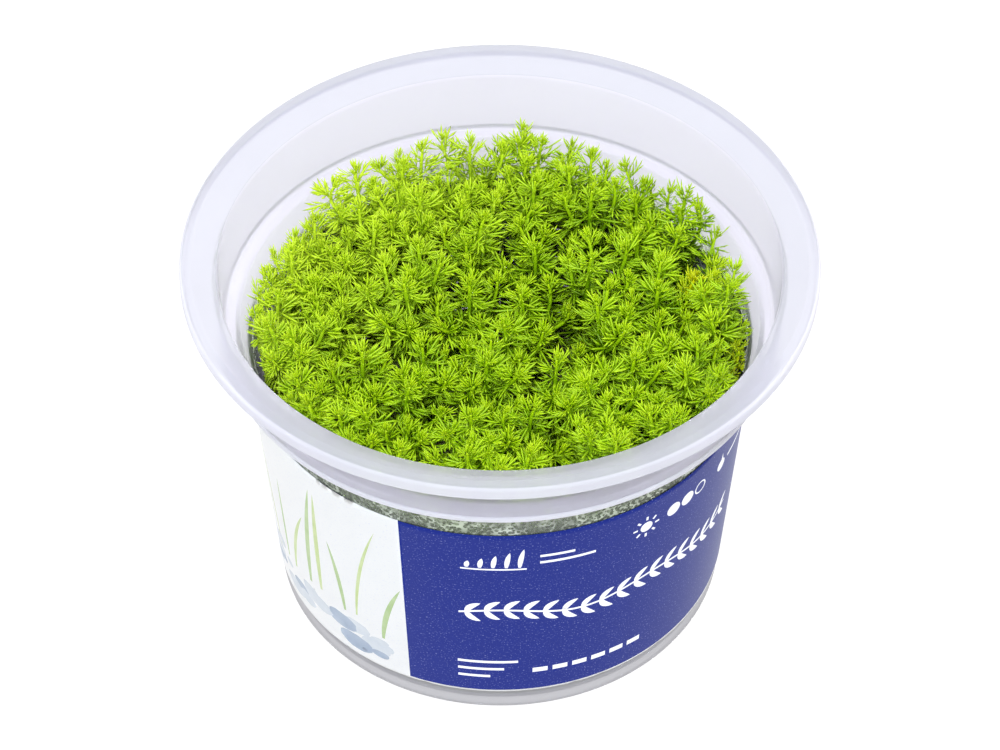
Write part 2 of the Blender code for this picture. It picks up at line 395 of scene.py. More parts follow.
# Whorls and leaves. The parts of a leaf are shares of its length, and its needles sweep by degrees.
OPENING_DEPTH = 1.8 * MM
FOLDED_RISE = math.radians(80)
OPEN_RISE = math.radians(0)
LEAVES_PER_WHORL = 5
WHORL_STRAY = 0.2
LEAF_LENGTH = 4.8 * MM
LEAF_COMBS = (1, 2, 2, 3)
MIDRIB_SET = 0.02
MIDRIB_LIFT = 0.16
MIDRIB_STOPS = (0.0, 0.35, 0.8, 1.0)
MIDRIB_FATNESS = (1.1, 0.9)
COMB_START = 0.10
COMB_SPAN = 0.40
NEEDLE_WIDTH = 0.42 * MM
NEEDLE_STRAY = 0.03
NEEDLE_SWEEP = (16.0, 34.0)
NEEDLE_LENGTHS = (0.50, 0.66)
NEEDLE_ROOT_SIZE = 1.05
NEEDLE_TAPER = 0.5
NEEDLE_LIFTS = (0.10, 0.35)
NEEDLE_WIDEST = 0.62
TIP_LEAF_SIZE = 0.30
SHADED_LEAF_SIZE = 0.70
LEAF_SIZES = (0.60, 1.22)
LEAF_ROLL = math.radians(45)
LEAF_STRAY = math.radians(20)

# How the wall bends the leaves back, and the side where they fall short of it.
WALL_SOFTNESS = 1.4 * MM
OVERHANG = 2.6 * MM
OVERHANG_START = 2 * MM
OVERHANG_SLOPE = 0.5
BARE_SIDE = math.radians(187)
BARE_SIDE_GAP = 0.9 * MM
BARE_SIDE_FALL = 12

# Where leaves have gone yellow, where the light came from, towards which the plants are painted paler as
# painted light, and how leaves darken below the tips as painted shade.
YELLOW_PLACES = (Vector((31.7 * MM, 5.3 * MM)), Vector((38.4 * MM, -8.8 * MM)))
YELLOW_WIDTH = 2.8 * MM
LIT_SIDE = math.radians(140)
PAINTED_LIGHT_FALL = 1.6
MOST_PAINTED_LIGHT = 0.74
SHADED_DEPTHS = (1.5 * MM, 12.0 * MM)
NEEDLE_PALING = 0.35


def stand_points():
    """Where the shoots' tips stand, seen from above: rings of stems, each a little out of place."""
    rng = random.Random(SHOOT_SEED)
    ring_spacing = STAND_RADIUS / (len(SHOOTS_PER_RING) - 0.5)
    points = []
    for ring, count in enumerate(SHOOTS_PER_RING):
        first_angle = rng.uniform(0.0, 2 * math.pi)
        for place in range(count):
            angle = first_angle + 2 * math.pi * place / count
            point = Vector((math.cos(angle), math.sin(angle))) * ring_spacing * (ring + 0.5)
            stray = Vector((rng.uniform(-STRAY, STRAY), rng.uniform(-STRAY, STRAY)))
            points.append(point + stray)
    return points


def along(angle):
    """A flat unit vector that points along an angle."""
    return Vector((math.cos(angle), math.sin(angle)))


def leaning(below_tip):
    """The share of a stem's lean that it has at a depth below its tip."""
    return max(0.0, 1 - below_tip / LEAN_LENGTH) ** 2


def main_stem(number, point):
    """Foot height, tip height and the path of a plant's main stem as a function of height."""
    rng = random.Random(SHOOT_SEED + number)
    tip = TIP_HEIGHT + rng.uniform(-TIP_SPREAD, TIP_SPREAD)
    bow = along(rng.uniform(0.0, 2 * math.pi)) * STEM_BOW
    lean = along(rng.uniform(0.0, 2 * math.pi)) * TIP_LEAN * rng.random()

    def place(z):
        crowding = ROOT_CROWDING + (1 - ROOT_CROWDING) * (z - GEL_HEIGHT) / (TIP_HEIGHT - GEL_HEIGHT)
        share = (z - GEL_HEIGHT) / (tip - GEL_HEIGHT)
        flat = point * crowding + bow * math.sin(math.pi * share) + lean * leaning(tip - z)
        return flat.to_3d() + Vector((0.0, 0.0, z))

    return STEM_FOOT, tip, place


def fork(stem, rng, tips):
    """A side stem that leaves a main stem, with its tip in the emptiest of a few places."""
    _, top, parent = stem
    lean = along(rng.uniform(0.0, 2 * math.pi)) * FORK_LEAN * rng.random()
    tip = top - rng.uniform(*FORK_DROP)
    start = top - rng.uniform(*FORK_DEPTH)
    best = None
    for choice in range(FORK_CHOICES):
        offset = along(rng.uniform(0.0, 2 * math.pi)) * rng.uniform(*FORK_REACH)
        spot = parent(tip).to_2d() + offset + lean
        room = min((spot - other).length for other in tips)
        if spot.length < TIPS_WITHIN and (best is None or room > best[0]):
            best = (room, offset, spot)
    if best is None:
        return None
    tips.append(best[2])

    def place(z):
        share = min(1.0, max(0.0, (z - start) / (tip - start)))
        flat = best[1] * math.sin(share * math.pi / 2) ** FORK_CURVE + lean * leaning(tip - z)
        return parent(z) + flat.to_3d()

    return start, tip, place


def internode(depth):
    """Distance between two whorls: tight at the growing tip, a full internode below it."""
    if depth > LEAFY_DEPTH:
        return BARE_INTERNODE
    return TIP_INTERNODE + INTERNODE_GROWTH * (1 - math.exp(-depth / GROWTH_DEPTH))


def add_stem(stem, rng, rows):
    """Add one stem's nodes, lowest first, with what each whorl of leaves there needs to know."""
    foot, tip, place = stem
    heights = []
    depth = FIRST_WHORL_DEPTH
    while tip - depth > foot:
        heights.append(tip - depth)
        depth += internode(depth) * rng.uniform(*INTERNODE_LUCK)
    heights.append(foot)
    tint = rng.uniform(0.0, 1.0)
    turn = rng.uniform(0.0, 2 * math.pi)
    first = len(rows["place"])
    for z in reversed(heights):
        spot = place(z)
        youth = math.exp((z - tip) / OPENING_DEPTH)
        grown = 1.0 if tip - z < LEAFY_DEPTH else SHADED_LEAF_SIZE
        yellowed = min((spot.to_2d() - middle).length for middle in YELLOW_PLACES) / YELLOW_WIDTH
        sunward = max(0.0, spot.to_2d().dot(along(LIT_SIDE)) / STAND_RADIUS)
        rows["place"].append(spot)
        rows["upward"].append((place(z + STEM_SAMPLE) - place(z - STEM_SAMPLE)).normalized())
        rows["depth"].append(tip - z)
        rows["youth"].append(youth)
        rows["leaf_size"].append(grown * (1 - (1 - TIP_LEAF_SIZE) * youth))
        rows["turn"].append(turn)
        rows["tint"].append(tint)
        rows["yellowing"].append(math.exp(-yellowed ** 2))
        # Painted light: plants towards the lit side get a paler colour.
        rows["sunning"].append(sunward ** PAINTED_LIGHT_FALL * MOST_PAINTED_LIGHT)
        turn += math.pi / LEAVES_PER_WHORL + rng.uniform(-WHORL_STRAY, WHORL_STRAY)
    rows["edges"] += [(index, index + 1) for index in range(first, len(rows["place"]) - 1)]


def stems_mesh(name, stems, rng):
    """A mesh of bare edges, one line for each stem, whose points are the plant's nodes."""
    numbers = ("depth", "youth", "leaf_size", "turn", "tint", "yellowing", "sunning")
    rows = {key: [] for key in ("place", "upward", "edges") + numbers}
    for stem in stems:
        add_stem(stem, rng, rows)
    mesh = bpy.data.meshes.new(name)
    mesh.from_pydata(rows["place"], rows["edges"], [])
    upward = mesh.attributes.new("upward", "FLOAT_VECTOR", "POINT")
    upward.data.foreach_set("vector", [value for vector in rows["upward"] for value in vector])
    for key in numbers:
        mesh.attributes.new(key, "FLOAT", "POINT").data.foreach_set("value", rows[key])
    return mesh


def add_needle(mesh, reach, points, widths, flatness=0.55):
    """A pointed three-sided needle through a few points, fattest where its widths say."""
    start = mesh.verts.new(points[0])
    start[reach] = points[0].length / LEAF_LENGTH
    ring_before = None
    for point, following, width in zip(points[1:], points[2:], widths):
        forward = (following - point).normalized()
        side = Vector((0.0, 0.0, 1.0)).cross(forward).normalized()
        up = forward.cross(side)
        corners = (up * flatness, -side - up * flatness / 2, side - up * flatness / 2)
        ring = [mesh.verts.new(point + corner * width / 2) for corner in corners]
        for vertex in ring:
            vertex[reach] = point.length / LEAF_LENGTH
        for corner in range(3):
            after = (corner + 1) % 3
            if ring_before is None:
                mesh.faces.new((start, ring[after], ring[corner]))
            else:
                mesh.faces.new((ring_before[corner], ring_before[after], ring[after], ring[corner]))
        ring_before = ring
    end = mesh.verts.new(points[-1])
    end[reach] = points[-1].length / LEAF_LENGTH
    for corner in range(3):
        mesh.faces.new((ring_before[corner], ring_before[(corner + 1) % 3], end))


def plain_mesh(name, mesh):
    """A mesh for an object from one that was built point by point."""
    data = bpy.data.meshes.new(name)
    mesh.to_mesh(data)
    mesh.free()
    return data


def comb_leaf(name, pairs, rng):
    """One leaf along +X: a midrib that lifts towards its tip, and pairs of needles swept forward."""
    mesh = bmesh.new()
    reach = mesh.verts.layers.float.new("reach")

    def midrib(share):
        return Vector((share, 0.0, MIDRIB_SET + MIDRIB_LIFT * share ** 2)) * LEAF_LENGTH

    add_needle(mesh, reach, [midrib(share) for share in MIDRIB_STOPS],
               [NEEDLE_WIDTH * fatness for fatness in MIDRIB_FATNESS])
    for pair in range(pairs):
        share = COMB_START + COMB_SPAN * (pair + 0.5) / pairs
        for side in (-1, 1):
            root = midrib(share + rng.uniform(-NEEDLE_STRAY, NEEDLE_STRAY))
            sweep = math.radians(rng.uniform(*NEEDLE_SWEEP))
            length = LEAF_LENGTH * rng.uniform(*NEEDLE_LENGTHS) * (NEEDLE_ROOT_SIZE - NEEDLE_TAPER * share)
            out = Vector((math.cos(sweep), side * math.sin(sweep), rng.uniform(*NEEDLE_LIFTS)))
            points = [root, root + out * length * NEEDLE_WIDEST, root + out * length]
            add_needle(mesh, reach, points, [NEEDLE_WIDTH])
    bmesh.ops.recalc_face_normals(mesh, faces=mesh.faces)
    data = plain_mesh(name, mesh)
    data.shade_smooth()
    return bpy.data.objects.new(name, data)


def new_tree(name, inputs, result):
    """An empty tree of geometry nodes with named inputs and one result, and its input sockets."""
    tree = bpy.data.node_groups.new(name, "GeometryNodeTree")
    tree.is_modifier = True
    for socket, kind in inputs.items():
        tree.interface.new_socket(socket, in_out="INPUT", socket_type="NodeSocket" + kind)
    tree.interface.new_socket(result, in_out="OUTPUT", socket_type="NodeSocketGeometry")
    return tree, add_node(tree, "NodeGroupInput").outputs


def grow(piece, tree, values):
    """Put a piece through a tree, with its inputs set by identifier, and keep what comes out."""
    modifier = piece.modifiers.new(tree.name, "NODES")
    modifier.node_group = tree
    for item in tree.interface.items_tree:
        if item.in_out == "INPUT" and item.name in values:
            modifier[item.identifier] = values[item.name]
    return settle(piece)


def shoot_tree():
    """Geometry nodes that turn lines of plant nodes into soft stems with whorls of comb leaves."""
    tree, given = new_tree("Milfoil shoots", {
        "Stems": "Geometry", "Leaf Models": "Collection", "Leaf Kinds": "Int", "Tissue": "Material",
        "Seed": "Int", "Leaves per Whorl": "Int", "Stem Radius": "Float", "Tip Radius": "Float",
        "Folded Rise": "Float", "Open Rise": "Float", "Most Stray": "Vector",
        "Smallest Leaf": "Float", "Largest Leaf": "Float"}, "Shoot")
    known = {}
    for name, kind in (("youth", "FLOAT"), ("turn", "FLOAT"), ("leaf_size", "FLOAT"),
                       ("upward", "FLOAT_VECTOR")):
        known[name] = add_node(tree, "GeometryNodeInputNamedAttribute", {"Name": name},
                               data_type=kind).outputs["Attribute"]

    line = add_node(tree, "GeometryNodeMeshToCurve", {"Mesh": given["Stems"]})
    ring = add_node(tree, "GeometryNodeCurvePrimitiveCircle", {"Resolution": 5, "Radius": 1.0})
    thickness = add_node(tree, "ShaderNodeMapRange", {
        "Value": known["youth"], "To Min": given["Stem Radius"], "To Max": given["Tip Radius"]})
    tube = add_node(tree, "GeometryNodeCurveToMesh", {
        "Curve": line.outputs["Curve"], "Profile Curve": ring.outputs["Curve"],
        "Scale": thickness.outputs["Result"], "Fill Caps": True})

    whorls = add_node(tree, "GeometryNodeDuplicateElements", {
        "Geometry": given["Stems"], "Amount": given["Leaves per Whorl"]}, domain="POINT")
    spacing = add_node(tree, "ShaderNodeMath", {0: 2 * math.pi, 1: given["Leaves per Whorl"]},
                       operation="DIVIDE")
    around = add_node(tree, "ShaderNodeMath", {
        0: whorls.outputs["Duplicate Index"], 1: spacing.outputs[0], 2: known["turn"]},
                      operation="MULTIPLY_ADD")
    rise = add_node(tree, "ShaderNodeMapRange", {
        "Value": known["youth"], "To Min": given["Open Rise"], "To Max": given["Folded Rise"]})
    even_turn = add_node(tree, "ShaderNodeCombineXYZ",
                         {"Y": rise.outputs["Result"], "Z": around.outputs[0]})
    least_stray = add_node(tree, "ShaderNodeVectorMath", {0: given["Most Stray"], "Scale": -1.0},
                           operation="SCALE")
    stray = add_node(tree, "FunctionNodeRandomValue", {
        0: least_stray.outputs[0], 1: given["Most Stray"], "Seed": given["Seed"]},
                     data_type="FLOAT_VECTOR")
    own_turn = add_node(tree, "ShaderNodeVectorMath", {
        0: even_turn.outputs[0], 1: (1.0, -1.0, 1.0), 2: stray.outputs[0]}, operation="MULTIPLY_ADD")
    standing = add_node(tree, "FunctionNodeAlignRotationToVector", {"Vector": known["upward"]}, axis="Z")
    local = add_node(tree, "FunctionNodeEulerToRotation", {"Euler": own_turn.outputs[0]})
    facing = add_node(tree, "FunctionNodeRotateRotation",
                      {"Rotation": standing.outputs[0], "Rotate By": local.outputs[0]},
                      rotation_space="LOCAL")

    luck = add_node(tree, "FunctionNodeRandomValue", {
        2: given["Smallest Leaf"], 3: given["Largest Leaf"], "Seed": given["Seed"]}).outputs[1]
    size = add_node(tree, "ShaderNodeMath", {0: known["leaf_size"], 1: luck}, operation="MULTIPLY")
    last_kind = add_node(tree, "ShaderNodeMath", {0: given["Leaf Kinds"], 1: 1.0}, operation="SUBTRACT")
    pick = add_node(tree, "FunctionNodeRandomValue",
                    {4: 0, 5: last_kind.outputs[0], "Seed": given["Leaf Kinds"]}, data_type="INT")
    models = add_node(tree, "GeometryNodeCollectionInfo",
                      {"Collection": given["Leaf Models"], "Separate Children": True,
                       "Reset Children": True})
    leaves = add_node(tree, "GeometryNodeInstanceOnPoints", {
        "Points": whorls.outputs["Geometry"], "Instance": models.outputs["Instances"],
        "Pick Instance": True, "Instance Index": pick.outputs[2],
        "Rotation": facing.outputs[0], "Scale": size.outputs[0]})

    both = add_node(tree, "GeometryNodeJoinGeometry", {"Geometry": leaves.outputs["Instances"]})
    tree.links.new(tube.outputs["Mesh"], both.inputs["Geometry"])
    real = add_node(tree, "GeometryNodeRealizeInstances", {"Geometry": both.outputs["Geometry"]})
    smooth = add_node(tree, "GeometryNodeSetShadeSmooth", {"Geometry": real.outputs["Geometry"]})
    finished = add_node(tree, "GeometryNodeSetMaterial",
                        {"Geometry": smooth.outputs["Geometry"], "Material": given["Tissue"]})
    add_node(tree, "NodeGroupOutput", {0: finished.outputs["Geometry"]})
    return tree


def hold_inside(mesh):
    """Bend back what would reach the cup's wall, as soft leaves do, and let it out over the ledge."""
    place = np.empty(len(mesh.vertices) * 3)
    mesh.vertices.foreach_get("co", place)
    place = place.reshape(-1, 3)
    radius = np.hypot(place[:, 0], place[:, 1])
    over_ledge = (place[:, 2] - LEDGE_HEIGHT + OVERHANG_START) * OVERHANG_SLOPE
    towards_bare_side = place[:, :2] @ np.array(along(BARE_SIDE)) / radius
    gap = BARE_SIDE_GAP * np.maximum(towards_bare_side, 0.0) ** BARE_SIDE_FALL
    wall = lower_wall_radius(place[:, 2]) - WALL + np.clip(over_ledge, 0.0, OVERHANG)
    free = wall - WALL_SOFTNESS - gap
    past = np.maximum(radius - free, 0.0)
    pressed = WALL_SOFTNESS * (1 - np.exp(-past / WALL_SOFTNESS))
    place[:, :2] *= ((np.minimum(radius, free) + pressed) / radius)[:, None]
    mesh.vertices.foreach_set("co", place.ravel())
    mesh.update()


def milfoil_tissue():
    """Young milfoil tissue: thin, soft and full of light, so it glows yellow green where it is lit.

    The growing tips are palest, the older leaves a fuller green, and the leaves darken with depth below
    the tips, painted shade of the canopy over them. The plants towards the lit side are painted paler,
    as painted light, and a few leaves at one side have gone yellow. A smooth wet skin gives the
    needles small bright glints.
    """
    material, tree = new_material("milfoil_tissue")
    shades = {}
    for name in ("youth", "depth", "tint", "yellowing", "sunning", "reach"):
        shades[name] = add_node(tree, "ShaderNodeAttribute", attribute_name=name).outputs["Fac"]
    place = add_node(tree, "ShaderNodeTexCoord").outputs["Object"]
    mottle = add_node(tree, "ShaderNodeTexNoise",
                      {"Vector": place, "Scale": 1 / (1.6 * MM), "Detail": 3.0}).outputs["Fac"]
    below = add_node(tree, "ShaderNodeMapRange", {
        "Value": shades["depth"], "From Min": SHADED_DEPTHS[0],
        "From Max": SHADED_DEPTHS[1]}).outputs["Result"]
    paling = add_node(tree, "ShaderNodeMath", {0: shades["reach"], 1: NEEDLE_PALING},
                      operation="MULTIPLY").outputs[0]
    colour = linear("#86BC00")
    for share, change in (
        (shades["tint"], "#A8D404"),
        (mottle, "#A6D60C"),
        # Painted shade: darker with depth below the tips.
        (below, "#447000"),
        (shades["youth"], "#D4F018"),
        # Painted light: paler towards the lit side.
        (shades["sunning"], "#E8FF3C"),
        (shades["yellowing"], "#ECE400"),
        (paling, "#C8E818"),
    ):
        colour = add_node(tree, "ShaderNodeMix", {"Factor": share, 6: colour, 7: linear(change)},
                          data_type="RGBA").outputs[2]
    shader = add_node(tree, "ShaderNodeBsdfPrincipled", {
        "Base Color": colour, "Roughness": 0.4, "IOR": 1.4, "Specular IOR Level": 0.5})
    add_node(tree, "ShaderNodeOutputMaterial", {"Surface": shader.outputs["BSDF"]})
    return material


leaf_rng = random.Random(SHOOT_SEED)
leaf_models = bpy.data.collections.new("Leaf models")
for model, pair_count in enumerate(LEAF_COMBS):
    leaf_models.objects.link(comb_leaf(f"comb_leaf_{model}", pair_count, leaf_rng))

shoot_nodes = shoot_tree()
tissue = milfoil_tissue()
trunks = [main_stem(number, point) for number, point in enumerate(stand_points(), start=1)]
taken = [place(tip).to_2d() for foot, tip, place in trunks]
for number, trunk in enumerate(trunks, start=1):
    name = f"milfoil_{number:02d}"
    plant_rng = random.Random(SHOOT_SEED * 100 + number)
    forks = [fork(trunk, plant_rng, taken) for side in range(FORKS)]
    stems = [trunk] + [side_stem for side_stem in forks if side_stem]
    plant = put_in_scene(name, stems_mesh(name, stems, plant_rng))
    grow(plant, shoot_nodes, {
        "Leaf Models": leaf_models, "Leaf Kinds": len(LEAF_COMBS), "Tissue": tissue, "Seed": number,
        "Leaves per Whorl": LEAVES_PER_WHORL, "Stem Radius": STEM_RADIUS, "Tip Radius": STEM_TIP_RADIUS,
        "Folded Rise": FOLDED_RISE, "Open Rise": OPEN_RISE,
        "Most Stray": (LEAF_ROLL, LEAF_STRAY, LEAF_STRAY),
        "Smallest Leaf": LEAF_SIZES[0], "Largest Leaf": LEAF_SIZES[1]})
    hold_inside(plant.data)
    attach(plant, "root")
    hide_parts(f"shoot_{number:02d}")
for model in list(leaf_models.objects):
    bpy.data.objects.remove(model)
bpy.data.collections.remove(leaf_models)


# Condensation
# The plants' breath hangs as drops of water on the inside of the wall above the label, thickest at
# the front. Each drop is a flat dome that holds on by itself.

DEW_HIGH = 50.4 * MM
DEW_DENSITY = 3.4
DEW_OFF_WALL = 0.02 * MM
DEW_FALL = 0.5
DEW_SEED = 4
DROP_SIDES = 7
DROP_PROFILE = ((1.0, 0.0), (0.72, 0.42))
DROP_CROWN = 0.58
DROP_RADII = (0.14 * MM, 0.50 * MM)
MOSTLY_SMALL = 2.0


def drop_model():
    """A dome of unit radius with a flat back."""
    mesh = bmesh.new()
    rings = []
    for radius, height in DROP_PROFILE:
        corners = [along(2 * math.pi * side / DROP_SIDES) * radius for side in range(DROP_SIDES)]
        rings.append([mesh.verts.new((corner.x, corner.y, height)) for corner in corners])
    crown = mesh.verts.new((0.0, 0.0, DROP_CROWN))
    mesh.faces.new(list(reversed(rings[0])))
    for side in range(DROP_SIDES):
        after = (side + 1) % DROP_SIDES
        mesh.faces.new((rings[0][side], rings[0][after], rings[1][after], rings[1][side]))
        mesh.faces.new((rings[1][side], rings[1][after], crown))
    data = plain_mesh("drop", mesh)
    data.shade_smooth()
    return bpy.data.objects.new("drop", data)


def dew_tree():
    """Geometry nodes that scatter drops of many sizes over a face, each flat side against it."""
    tree, given = new_tree("Dew", {
        "Wall": "Geometry", "Drop": "Object", "Water": "Material", "Density": "Float",
        "Smallest": "Float", "Largest": "Float", "Seed": "Int"}, "Drops")
    wetness = add_node(tree, "GeometryNodeInputNamedAttribute", {"Name": "wetness"}, data_type="FLOAT")
    density = add_node(tree, "ShaderNodeMath",
                       {0: wetness.outputs["Attribute"], 1: given["Density"]}, operation="MULTIPLY")
    spots = add_node(tree, "GeometryNodeDistributePointsOnFaces", {
        "Mesh": given["Wall"], "Density": density.outputs[0], "Seed": given["Seed"]})
    model = add_node(tree, "GeometryNodeObjectInfo", {"Object": given["Drop"], "As Instance": True})
    chance = add_node(tree, "FunctionNodeRandomValue",
                      {2: 0.0, 3: 1.0, "Seed": given["Seed"]}).outputs[1]
    luck = add_node(tree, "ShaderNodeMath", {0: chance, 1: MOSTLY_SMALL}, operation="POWER").outputs[0]
    size = add_node(tree, "ShaderNodeMapRange", {
        "Value": luck, "To Min": given["Smallest"], "To Max": given["Largest"]})
    drops = add_node(tree, "GeometryNodeInstanceOnPoints", {
        "Points": spots.outputs["Points"], "Instance": model.outputs["Geometry"],
        "Rotation": spots.outputs["Rotation"], "Scale": size.outputs["Result"]})
    real = add_node(tree, "GeometryNodeRealizeInstances", {"Geometry": drops.outputs["Instances"]})
    finished = add_node(tree, "GeometryNodeSetMaterial",
                        {"Geometry": real.outputs["Geometry"], "Material": given["Water"]})
    add_node(tree, "NodeGroupOutput", {0: finished.outputs["Geometry"]})
    return tree


def dew_wall():
    """The strip of inner wall that the drops hang on, facing the middle of the cup."""
    mesh = bmesh.new()
    wetness = mesh.verts.layers.float.new("wetness")
    rings = []
    for z in (WET_FROM, DEW_HIGH):
        radius = lower_wall_radius(z) - WALL - DEW_OFF_WALL
        ring = []
        for step in range(CUP_STEPS):
            spot = along(2 * math.pi * step / CUP_STEPS)
            ring.append(mesh.verts.new((spot.x * radius, spot.y * radius, z)))
            ring[-1][wetness] = max(0.0, -spot.y) ** DEW_FALL
        rings.append(ring)
    for step in range(CUP_STEPS):
        after = (step + 1) % CUP_STEPS
        mesh.faces.new((rings[0][after], rings[0][step], rings[1][step], rings[1][after]))
    return plain_mesh("dew", mesh)


def still_water():
    """Clean water: clear and mirror smooth, each drop a small bright lens."""
    material, tree = new_material("still_water")
    place = add_node(tree, "ShaderNodeTexCoord").outputs["Object"]
    tremble = add_node(tree, "ShaderNodeTexNoise", {"Vector": place, "Scale": 1 / (0.4 * MM)})
    skin = add_node(tree, "ShaderNodeBump",
                    {"Height": tremble.outputs["Fac"], "Strength": 0.2, "Distance": 0.02 * MM})
    shader = add_node(tree, "ShaderNodeBsdfPrincipled", {
        "Base Color": linear("#FFFFFF"), "Normal": skin.outputs["Normal"],
        "Roughness": 0.03, "IOR": 1.333, "Transmission Weight": 1.0})
    add_node(tree, "ShaderNodeOutputMaterial", {"Surface": shader.outputs["BSDF"]})
    return material


dew = put_in_scene("dew", dew_wall())
drop = drop_model()
grow(dew, dew_tree(), {
    "Drop": drop, "Water": still_water(), "Density": DEW_DENSITY / MM ** 2,
    "Smallest": DROP_RADII[0], "Largest": DROP_RADII[1], "Seed": DEW_SEED})
bpy.data.objects.remove(drop)
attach(dew, "root")


# Label
# A strip of printed polypropylene film stuck round the tapering wall, its ends butted at the back.
# Blue ground with plain white marks, and beside it a white field with a wash of reeds over pebbles.

LABEL_LOW = 5.2 * MM
LABEL_HIGH = 45.9 * MM
FILM_OFF_WALL = 0.06 * MM
FILM_THICKNESS = 0.12 * MM
LABEL_END_GAP = math.radians(0.05)
LABEL_MARGIN = 0.35 * MM
LABEL_RADIUS = lower_wall_radius((LABEL_LOW + LABEL_HIGH) / 2)
HALF_LENGTH = (math.pi - LABEL_END_GAP / 2) * LABEL_RADIUS
FILM_GRID = 1.2 * MM
WELD = 0.002 * MM
WASH_SEED = 3
REEDS = 15
STONES = 34
# Each ink where it is full and where it is thin, and how much light soaks into the film behind it.
INKS = {
    "blue_ink": ("#0E2179", "#13267F", 0.0),
    "white_film": ("#F4F6F8", "#FAFBFC", 0.8),
    "white_ink": ("#F2F4FA", "#F8F9FD", 0.0),
    "reed_wash": ("#8FAF6A", "#C4D6A8", 0.8),
    "young_reed_wash": ("#A9C46C", "#D8E4B4", 0.8),
    "stone_wash": ("#B4BFCE", "#E2E7EE", 0.8),
    "dark_stone_wash": ("#7F8FA8", "#B9C4D4", 0.8),
}
BACKS = {
    "white_back": ("#E4E6EA", "#ECEEF2", 0.8),
    "blue_back": ("#2C343E", "#343C46", 0.0),
}


def arc(degrees):
    """Distance round the label from its front, in metres."""
    return math.radians(degrees) * LABEL_RADIUS


def box_shape(left, right, low, high):
    """The corners of an upright box."""
    return [(left, low), (right, low), (right, high), (left, high)]


def rule_shape(start, end, z, width):
    """A level rule between two angles round the label, in degrees, that rests on a height."""
    return box_shape(arc(start), arc(end), z, z + width)


def oval_shape(x, z, half_width, half_height, sides=22, wobble=0.0, rng=None):
    """An oval about a middle. A wobble makes its radius uneven, as on a pebble."""
    points = []
    for side in range(sides):
        turn = 2 * math.pi * side / sides
        swell = 1 + (rng.uniform(-wobble, wobble) if rng else 0.0)
        points.append((x + half_width * swell * math.cos(turn), z + half_height * swell * math.sin(turn)))
    return points


def blade_shape(x, z, length, width, lean, steps=7):
    """A leaf or reed: a strip that bends as it rises and narrows to a point at both ends."""
    left, right = [], []
    for step in range(steps + 1):
        share = step / steps
        heading = lean * (0.4 + share)
        cx = x + length * share * math.sin(heading)
        cz = z + length * share * math.cos(heading)
        half = width / 2 * math.sin(math.pi * (0.12 + 0.88 * share)) ** 0.7 if share < 1 else 0.0
        left.append((cx - half * math.cos(heading), cz + half * math.sin(heading)))
        right.append((cx + half * math.cos(heading), cz - half * math.sin(heading)))
    return left + list(reversed(right[:-1]))


def height_scale(shapes):
    """Five blades of growing height on a line, and two short rules beside them."""
    low = 37.2 * MM
    shapes.append(("white_ink", rule_shape(-9, 6, low, width=0.35 * MM)))
    for blade in range(5):
        foot, length = arc(-7.6 + 3.0 * blade), (1.6 + 0.75 * blade) * MM
        shapes.append(("white_ink", blade_shape(foot, low + 0.6 * MM, length, width=0.8 * MM, lean=0.1)))
    for rule in range(2):
        z = low + (1.2 + 1.6 * rule) * MM
        shapes.append(("white_ink", rule_shape(9, 22 - 5 * rule, z, width=0.55 * MM)))


def light_marks(shapes):
    """A sun, then two full dots and an open one."""
    x, z = arc(35), 39.6 * MM
    sun_radius, ray_start, ray_end, ray_half_width = 1.1 * MM, 1.6, 2.4, 0.2
    dot_height, dot_radius, hole_radius = 39.9 * MM, 1.35 * MM, 1.05 * MM
    shapes.append(("white_ink", oval_shape(x, z, sun_radius, sun_radius)))
    for ray in range(8):
        out = along(math.pi / 4 * ray)
        across = Vector((-out.y, out.x)) * ray_half_width * MM
        centre = Vector((x, z))
        near, far = centre + out * ray_start * MM, centre + out * ray_end * MM
        shapes.append(("white_ink", [tuple(near - across), tuple(far - across), tuple(far + across),
                                     tuple(near + across)]))
    for dot, degrees in enumerate((43.0, 47.6, 52.2)):
        shapes.append(("white_ink", oval_shape(arc(degrees), dot_height, dot_radius, dot_radius)))
        if dot == 2:
            shapes.append(("blue_ink", oval_shape(arc(degrees), dot_height, hole_radius, hole_radius)))


def water_drop(shapes):
    """A drop with a rule beside it."""
    z, radius, point_height, rule_half_width = 39.2 * MM, 1.2 * MM, 2.6 * MM, 0.3 * MM
    outline = oval_shape(arc(61.5), z, radius, radius)
    top = max(range(len(outline)), key=lambda index: outline[index][1])
    outline[top] = (outline[top][0], z + point_height)
    shapes.append(("white_ink", outline))
    shapes.append(("white_ink", box_shape(arc(65), arc(74), z - rule_half_width, z + rule_half_width)))


def sprig(shapes):
    """A long sprig: a waving stem with leaves in pairs."""
    start, end, middle = arc(-9.7), arc(68.5), 26.0 * MM
    wave, stem_half_width, stem_steps, pairs = 0.9 * MM, 0.22 * MM, 40, 17

    def stem(share):
        return start + (end - start) * share, middle + wave * math.sin(share * 4 * math.pi)

    upper, lower = [], []
    for step in range(stem_steps + 1):
        x, z = stem(step / stem_steps)
        upper.append((x, z + stem_half_width))
        lower.append((x, z - stem_half_width))
    shapes.append(("white_ink", lower + list(reversed(upper))))
    leaf = blade_shape(0.0, 0.0, length=3.2 * MM, width=1.15 * MM, lean=0.55)
    for pair in range(pairs):
        x, z = stem((pair + 0.4) / pairs)
        for side in (-1, 1):
            shapes.append(("white_ink", [(x + lx, z + side * lz) for lx, lz in leaf][::side]))


